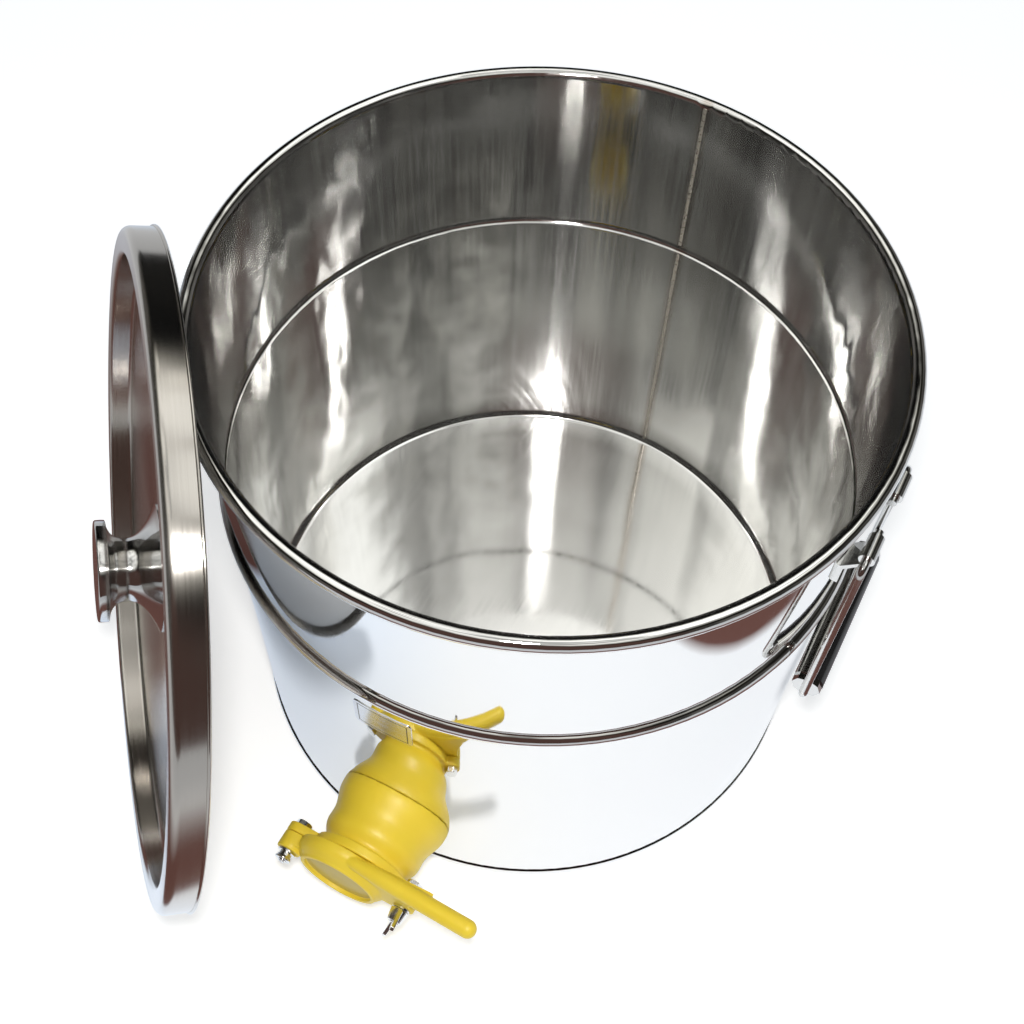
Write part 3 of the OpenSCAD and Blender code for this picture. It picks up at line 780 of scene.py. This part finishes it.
def weld_tree():
    """Flat ripples set close together along two upright runs."""
    tree = bpy.data.node_groups.new("weld ripples", "GeometryNodeTree")
    for label in ("Low Start", "Low End", "High Start", "High End", "Ripple"):
        tree.interface.new_socket(label, in_out="INPUT", socket_type="NodeSocketVector")
    for label in ("Spacing", "Turn"):
        tree.interface.new_socket(label, in_out="INPUT", socket_type="NodeSocketFloat")
    tree.interface.new_socket("Finish", in_out="INPUT", socket_type="NodeSocketMaterial")
    tree.interface.new_socket("Geometry", in_out="OUTPUT", socket_type="NodeSocketGeometry")
    given, made = tree.nodes.new("NodeGroupInput"), tree.nodes.new("NodeGroupOutput")
    runs = tree.nodes.new("GeometryNodeJoinGeometry")
    for run in ("Low", "High"):
        line = tree.nodes.new("GeometryNodeCurvePrimitiveLine")
        tree.links.new(given.outputs[run + " Start"], line.inputs["Start"])
        tree.links.new(given.outputs[run + " End"], line.inputs["End"])
        tree.links.new(line.outputs["Curve"], runs.inputs["Geometry"])
    spaced = tree.nodes.new("GeometryNodeResampleCurve")
    spaced.mode = "LENGTH"
    tree.links.new(runs.outputs["Geometry"], spaced.inputs["Curve"])
    tree.links.new(given.outputs["Spacing"], spaced.inputs["Length"])
    drop = tree.nodes.new("GeometryNodeMeshUVSphere")
    drop.inputs["Segments"].default_value = 8
    drop.inputs["Rings"].default_value = 4
    drop.inputs["Radius"].default_value = 1.0
    turned = tree.nodes.new("ShaderNodeCombineXYZ")
    tree.links.new(given.outputs["Turn"], turned.inputs["Z"])
    laid = tree.nodes.new("GeometryNodeInstanceOnPoints")
    tree.links.new(spaced.outputs["Curve"], laid.inputs["Points"])
    tree.links.new(drop.outputs["Mesh"], laid.inputs["Instance"])
    tree.links.new(turned.outputs["Vector"], laid.inputs["Rotation"])
    tree.links.new(given.outputs["Ripple"], laid.inputs["Scale"])
    real = tree.nodes.new("GeometryNodeRealizeInstances")
    smooth = tree.nodes.new("GeometryNodeSetShadeSmooth")
    finish = tree.nodes.new("GeometryNodeSetMaterial")
    tree.links.new(laid.outputs["Instances"], real.inputs["Geometry"])
    tree.links.new(real.outputs["Geometry"], smooth.inputs["Geometry"])
    tree.links.new(smooth.outputs["Geometry"], finish.inputs["Geometry"])
    tree.links.new(given.outputs["Finish"], finish.inputs["Material"])
    tree.links.new(finish.outputs["Geometry"], made.inputs["Geometry"])
    return tree


def weld_ripples():
    """The weld's two runs of ripples as one mesh."""
    work = bpy.data.objects.new("weld_work", bpy.data.meshes.new("weld_work"))
    layer = work.modifiers.new("ripples", "NODES")
    layer.node_group = weld_tree()
    out = seam_r - RIPPLE_SINK
    ends = [(out * math.cos(SEAM_TURN), out * math.sin(SEAM_TURN), z) for z in seam_levels]
    values = dict(zip(("Low Start", "Low End", "High Start", "High End"), ends))
    values.update({"Ripple": RIPPLE, "Spacing": RIPPLE_SPACING})
    values.update({"Turn": SEAM_TURN, "Finish": weld_steel})
    for item in layer.node_group.interface.items_tree:
        if item.in_out == "INPUT":
            layer[item.identifier] = values[item.name]
    return evaluated_mesh(work)


# Rounded pieces: name, node, size of the grid, passes of smoothing, material and slot
for name, node, grain, passes, finish, slot in (
    ("gate_moulding", "gate_body", 0.0007, 5, yellow_plastic, "yellow_plastic"),
    ("flap_moulding", "flap", 0.0005, 8, yellow_plastic, "yellow_plastic"),
    ("lock_nut_turned", "gate_lock_nut", 0.0008, 4, wire_steel, "plain_steel"),
    ("cast_wing_nut", "wing_nut", 0.0003, 6, bright_zinc, "plain_steel"),
):
    new_piece(name, rounded(node, grain, passes), finish, node)
new_piece("hinge_bolt_threaded", threaded_bolt("hinge_bolt"), bright_zinc, "hinge_bolt")
new_piece("clamp_bolt_threaded", threaded_bolt("clamp_bolt"), bright_zinc, "clamp_bolt")
new_piece("hinge_nut_round", round_nut("hinge_nut"), bright_zinc, "hinge_nut")
new_piece("knob_spun", spun_knob(), knob_steel, "lid_knob")
new_piece("lid_spun", spun_lid(), lid_steel, "lid_pan")
new_piece("floor_with_seam", floor_pan(), floor_steel, "tank_floor")
new_piece("plate_foil", foil_plate(), plate_foil, "blank_plate")
new_piece("weld_ripples", weld_ripples(), weld_steel, "weld_seam")

FINISHES = {
    drum_steel: ["tank_wall"],
    floor_steel: ["tank_floor"],
    lid_steel: ["lid_pan"],
    knob_steel: ["lid_knob"],
    wire_steel: [
        "rim_wire", "knob_washer", "knob_screw",
        *[side + piece for side in ("right_", "left_") for piece in
          ("lug_front", "lug_back", "bail", "grip_inner", "cap_front", "cap_back")],
    ],
    bright_zinc: ["hinge_bolt", "hinge_washer", "hinge_nut", "clamp_bolt", "clamp_washer", "wing_nut"],
    weld_steel: ["weld_seam"],
    plate_foil: ["blank_plate"],
    yellow_plastic: ["gate_body", "gate_lock_nut", "flap"],
    seal_rubber: ["gate_seal", "flap_seal"],
    black_grip: ["right_grip_outer", "left_grip_outer"],
}

for finish, names in FINISHES.items():
    for name in names:
        nodes[name].data.materials.clear()
        nodes[name].data.materials.append(finish)


# Stage, camera and light
# The ground round the drum's axis: ends, corners and edge of its pale part, where its dark part fades
# outward and towards the back, and where the pale part turns cooler
PALE_ACROSS = (-0.24, 0.311)
PALE_ALONG = (-0.40, 0.75)
PALE_CORNER = 0.22
PALE_EDGE = (-0.004, 0.008)
FADE = (0.18, 0.50)
BACK_FADE = (0.04, 0.28)
COOL_SPAN = (-0.28, 0.05)
DARK_GROUND = (0.14, 0.068, 0.058, 1.0)
FAR_GROUND = (0.70, 0.70, 0.71, 1.0)
BLUE_WHITE = (0.72, 0.83, 1.0, 1.0)
COOL_WHITE = (0.90, 0.92, 0.96, 1.0)
SEEN_GROUND = (0.93, 0.93, 0.93, 1.0)
SEEN_GLOW = 0.45
MIRRORED_GLOW = 0.25
EXTENT = 30.0


def floor_material():
    """White to the camera. Metal sees pale ground, cooler at its left, and dark ground round its front."""
    material = bpy.data.materials.new("pale floor")
    material.use_nodes = True
    tree = material.node_tree
    tree.nodes.clear()
    across, along, _ = split(tree, object_place(tree))
    past = tree.nodes.new("ShaderNodeCombineXYZ")
    for way, socket, (low, high) in (("X", across, PALE_ACROSS), ("Y", along, PALE_ALONG)):
        over = math_node(tree, "SUBTRACT", socket, high - PALE_CORNER)
        under = math_node(tree, "SUBTRACT", low + PALE_CORNER, socket)
        further = math_node(tree, "MAXIMUM", math_node(tree, "MAXIMUM", over, under), 0.0)
        tree.links.new(further, past.inputs[way])
    length = vector_node(tree, "LENGTH", past.outputs["Vector"])
    outside = math_node(tree, "SUBTRACT", length, PALE_CORNER)
    cool = mapped_range(tree, across, *COOL_SPAN, 0.0, 1.0)
    pale = mixed(tree, "RGBA", cool, BLUE_WHITE, COOL_WHITE)
    band = mapped_range(tree, outside, *PALE_EDGE, 0.0, 1.0)
    front = mapped_range(tree, along, *BACK_FADE, 1.0, 0.0)
    ground = mixed(tree, "RGBA", math_node(tree, "MULTIPLY", band, front), pale, DARK_GROUND)
    far = mapped_range(tree, outside, *FADE, 0.0, 1.0)
    ground = mixed(tree, "RGBA", far, ground, FAR_GROUND)
    path = tree.nodes.new("ShaderNodeLightPath")
    mirrored = path.outputs["Is Glossy Ray"]
    seen = mixed(tree, "RGBA", mirrored, SEEN_GROUND, ground)
    lit = tree.nodes.new("ShaderNodeBsdfDiffuse")
    tree.links.new(seen, lit.inputs["Color"])
    glow = tree.nodes.new("ShaderNodeEmission")
    tree.links.new(seen, glow.inputs["Color"])
    direct = math_node(tree, "MULTIPLY", path.outputs["Is Camera Ray"], SEEN_GLOW)
    strength = math_node(tree, "ADD", direct, math_node(tree, "MULTIPLY", mirrored, MIRRORED_GLOW))
    tree.links.new(strength, glow.inputs["Strength"])
    both = tree.nodes.new("ShaderNodeAddShader")
    tree.links.new(lit.outputs["BSDF"], both.inputs[0])
    tree.links.new(glow.outputs["Emission"], both.inputs[1])
    output = tree.nodes.new("ShaderNodeOutputMaterial")
    tree.links.new(both.outputs["Shader"], output.inputs["Surface"])
    return material


def make_floor():
    mesh = bpy.data.meshes.new("floor")
    corners = [(x * EXTENT, y * EXTENT, 0.0) for x, y in ((-1, -1), (1, -1), (1, 1), (-1, 1))]
    mesh.from_pydata(corners, [], [(0, 1, 2, 3)])
    mesh.materials.append(floor_material())
    floor = bpy.data.objects.new("floor", mesh)
    scene.collection.objects.link(floor)


# The camera: place, the ways to its right and its back, lens and sensor in millimetres, and shift
CAMERA_PLACE = (0.1879, -0.4274, 0.8879)
CAMERA_RIGHT = (0.8836, 0.4673, 0.0275)
CAMERA_BACK = (0.2308, -0.4860, 0.8430)
LENS = 46.87
SENSOR = 36.0
SHIFT = (-0.0037, -0.0018)


def make_camera():
    data = bpy.data.cameras.new("camera")
    data.sensor_width = SENSOR
    data.lens = LENS
    data.shift_x, data.shift_y = SHIFT
    camera = bpy.data.objects.new("camera", data)
    right, back = Vector(CAMERA_RIGHT).normalized(), Vector(CAMERA_BACK).normalized()
    up = back.cross(right).normalized()
    right = up.cross(back)
    turn = Matrix((right, up, back)).transposed().to_4x4()
    camera.matrix_world = Matrix.Translation(CAMERA_PLACE) @ turn
    scene.collection.objects.link(camera)
    scene.camera = camera


# The one lamp, close to the camera
LAMP_PLACE = Vector((0.165, -0.40, 0.93))
LAMP_AIM = Vector((0.0, 0.0, 0.15))
LAMP_SIZE = 0.08
LAMP_POWER = 4.6
LAMP_COLOUR = (1.0, 0.98, 0.95)


def make_lamp():
    data = bpy.data.lights.new("lamp", "AREA")
    data.shape = "DISK"
    data.size = LAMP_SIZE
    data.energy = LAMP_POWER
    data.color = LAMP_COLOUR
    lamp = bpy.data.objects.new("lamp", data)
    lamp.location = LAMP_PLACE
    lamp.rotation_euler = (LAMP_AIM - LAMP_PLACE).to_track_quat("-Z", "Y").to_euler()
    scene.collection.objects.link(lamp)


# What metal mirrors from round the part: colours by the height of the direction, and their level
AROUND = (
    (0.0, (0.19, 0.18, 0.17, 1.0)),
    (0.38, (0.13, 0.125, 0.115, 1.0)),
    (0.56, (0.018, 0.017, 0.014, 1.0)),
    (0.66, (0.009, 0.008, 0.006, 1.0)),
    (0.725, (0.035, 0.033, 0.028, 1.0)),
    (0.77, (0.42, 0.41, 0.37, 1.0)),
    (0.83, (0.95, 0.94, 0.88, 1.0)),
    (0.91, (1.00, 0.99, 0.95, 1.0)),
    (1.0, (0.80, 0.80, 0.77, 1.0)),
)
AROUND_LEVEL = 1.4
# Cones of directions: elevation, direction, inner and outer half width, in degrees
BRIGHT_TOP = (62.0, 113.0, 24.0, 62.0)
BRIGHT_REST = 0.5
DIM_BACK = (18.0, 119.0, 24.0, 40.0)
DIM_SHARE = 0.06
# The same for each patch, and its colour
PANEL_WHITE = (0.95, 0.95, 0.92, 1.0)
PATCHES = (
    ((12.0, -72.0, 36.0, 48.0), (0.055, 0.031, 0.026, 1.0)),
    ((63.0, 78.0, 7.0, 8.7), PANEL_WHITE),
    ((67.0, 24.0, 10.0, 11.2), PANEL_WHITE),
)
# Uneven light: stretch and scale of its clouds, the span of their noise, and the shares of light
CLOUD_STRETCH = (1.0, 1.0, 0.3)
CLOUD_SCALE = 5.0
CLOUD_SPAN = (0.37, 0.53)
CLOUD_SHARE = (0.38, 1.0)
# Level light on what isn't metal, and the white behind the part
PLAIN_LIGHT = (0.93, 0.97, 1.0, 1.0)
PLAIN_LEVEL = 0.55
WHITE = (1.0, 1.0, 1.0, 1.0)


def cone(tree, way, form, off, on):
    """One value outside a cone of directions and another inside it, with a soft edge between."""
    elevation, direction, inner, outer = [math.radians(angle) for angle in form]
    flat = math.cos(elevation)
    aim = (flat * math.cos(direction), flat * math.sin(direction), math.sin(elevation))
    facing = vector_node(tree, "DOT_PRODUCT", way, aim)
    return mapped_range(tree, facing, math.cos(outer), math.cos(inner), off, on)


def background(tree, colour, level):
    node = tree.nodes.new("ShaderNodeBackground")
    join(tree, colour, node.inputs["Color"])
    node.inputs["Strength"].default_value = level
    return node.outputs["Background"]


def shader_mix(tree, factor, first, second):
    node = tree.nodes.new("ShaderNodeMixShader")
    for socket, source in zip(node.inputs, (factor, first, second)):
        tree.links.new(source, socket)
    return node.outputs["Shader"]


def make_world():
    world = bpy.data.worlds.new("studio")
    scene.world = world
    world.use_nodes = True
    tree = world.node_tree
    tree.nodes.clear()
    way = tree.nodes.new("ShaderNodeTexCoord").outputs["Generated"]
    heights = tree.nodes.new("ShaderNodeValToRGB")
    stops = heights.color_ramp.elements
    stops[0].color, stops[1].color = AROUND[0][1], AROUND[-1][1]
    for height, colour in AROUND[1:-1]:
        stops.new(height).color = colour
    tree.links.new(split(tree, way)["Z"], heights.inputs["Fac"])
    stretched = vector_node(tree, "MULTIPLY", way, CLOUD_STRETCH)
    share = mapped_range(tree, noise(tree, stretched, CLOUD_SCALE, 1.0), *CLOUD_SPAN, *CLOUD_SHARE)
    for form, off, on in ((BRIGHT_TOP, BRIGHT_REST, 1.0), (DIM_BACK, 1.0, DIM_SHARE)):
        share = math_node(tree, "MULTIPLY", share, cone(tree, way, form, off, on))
    around = vector_node(tree, "MULTIPLY", heights.outputs["Color"], share)
    for form, colour in PATCHES:
        around = mixed(tree, "RGBA", cone(tree, way, form, 0.0, 1.0), around, colour)
    mirrored = background(tree, around, AROUND_LEVEL)
    plain = background(tree, PLAIN_LIGHT, PLAIN_LEVEL)
    path = tree.nodes.new("ShaderNodeLightPath")
    unseen = shader_mix(tree, path.outputs["Is Glossy Ray"], plain, mirrored)
    shown = shader_mix(tree, path.outputs["Is Camera Ray"], unseen, background(tree, WHITE, 1.0))
    output = tree.nodes.new("ShaderNodeOutputWorld")
    tree.links.new(shown, output.inputs["Surface"])


make_floor()
make_camera()
make_world()
make_lamp()

scene.view_settings.view_transform = "Standard"
